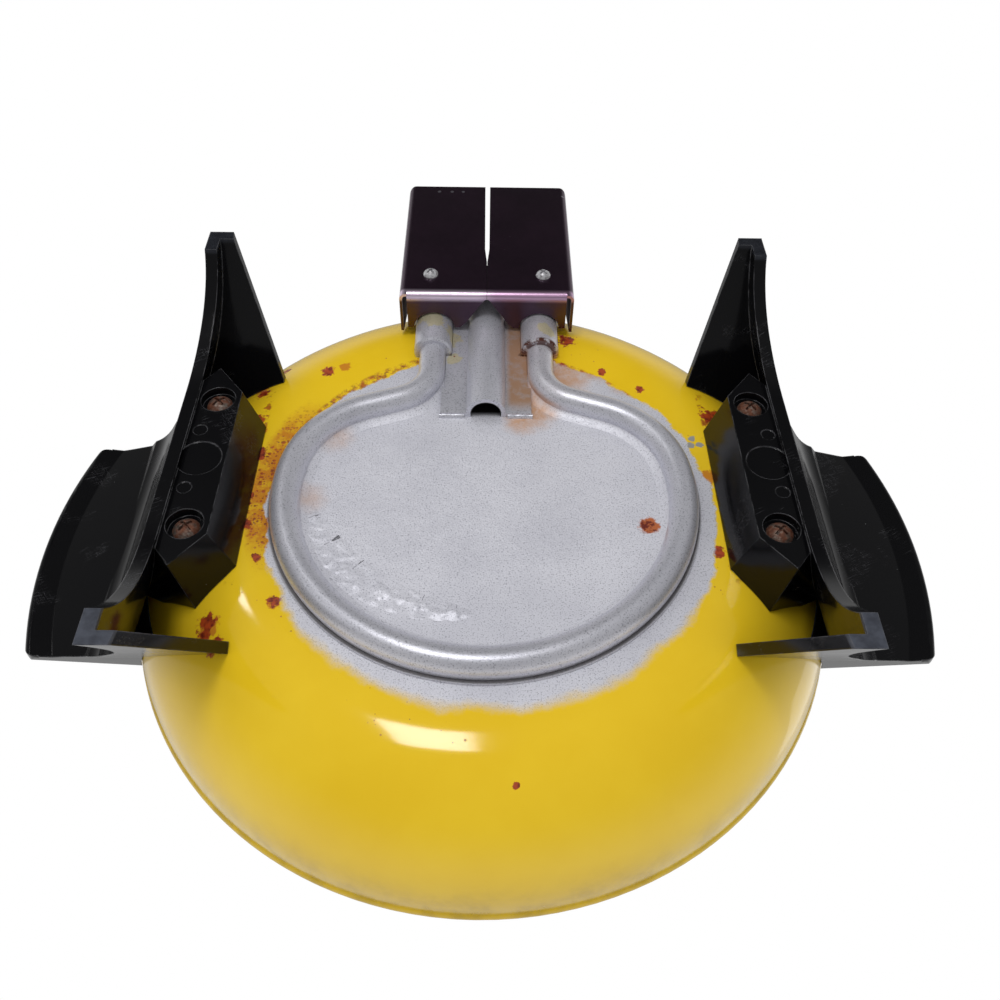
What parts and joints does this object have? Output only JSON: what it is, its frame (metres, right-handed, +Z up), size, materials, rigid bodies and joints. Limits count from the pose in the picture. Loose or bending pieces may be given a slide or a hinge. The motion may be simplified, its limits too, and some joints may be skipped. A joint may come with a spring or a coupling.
{
  "type": "electric skillet",
  "caption": "Round cast skillet base with a brazed ring element under it, a probe channel, a sheet-metal guard over the terminals and moulded side handles whose legs stand on the table.",
  "frame": {"origin": "middle of the bottom of the whole part's box, on the table under the pan", "axes": "+Z up, out of the pan's open top; -Y towards the open end of the terminal guard, where a heat control plugs in; +X through the right handle"},
  "size_m": [0.2912, 0.2612, 0.0831],
  "materials": {
    "enamel": "glossy porcelain enamel, yellow outside",
    "element": "aluminium sheath, painted with the pan's bottom",
    "insulation": "packed magnesia powder",
    "coil": "resistance wire",
    "terminal": "plated, dulled",
    "insulator": "matt white",
    "guard": "dark anodised sheet, satin",
    "bracket": "plain sheet steel",
    "screw": "zinc plated, rusting",
    "phenolic": "glossy black phenolic moulding"
  },
  "bodies": {
    "root": {"pan_shell": "enamel", "element_sheath": "element", "element_insulation": "insulation", "element_coil": "coil", "terminal_pin_left": "terminal", "terminal_pin_right": "terminal", "terminal_insulator_left": "insulator", "terminal_insulator_right": "insulator", "terminal_sleeve_left": "element", "terminal_sleeve_right": "element", "probe_channel": "element", "guard_bracket": "bracket", "terminal_guard_left": "guard", "terminal_guard_right": "guard", "guard_screw_left": "screw", "guard_screw_right": "screw", "handle_left": "phenolic", "handle_right": "phenolic", "handle_screw_left_front": "screw", "handle_screw_left_back": "screw", "handle_screw_right_front": "screw", "handle_screw_right_back": "screw"}
  },
  "joints": []
}
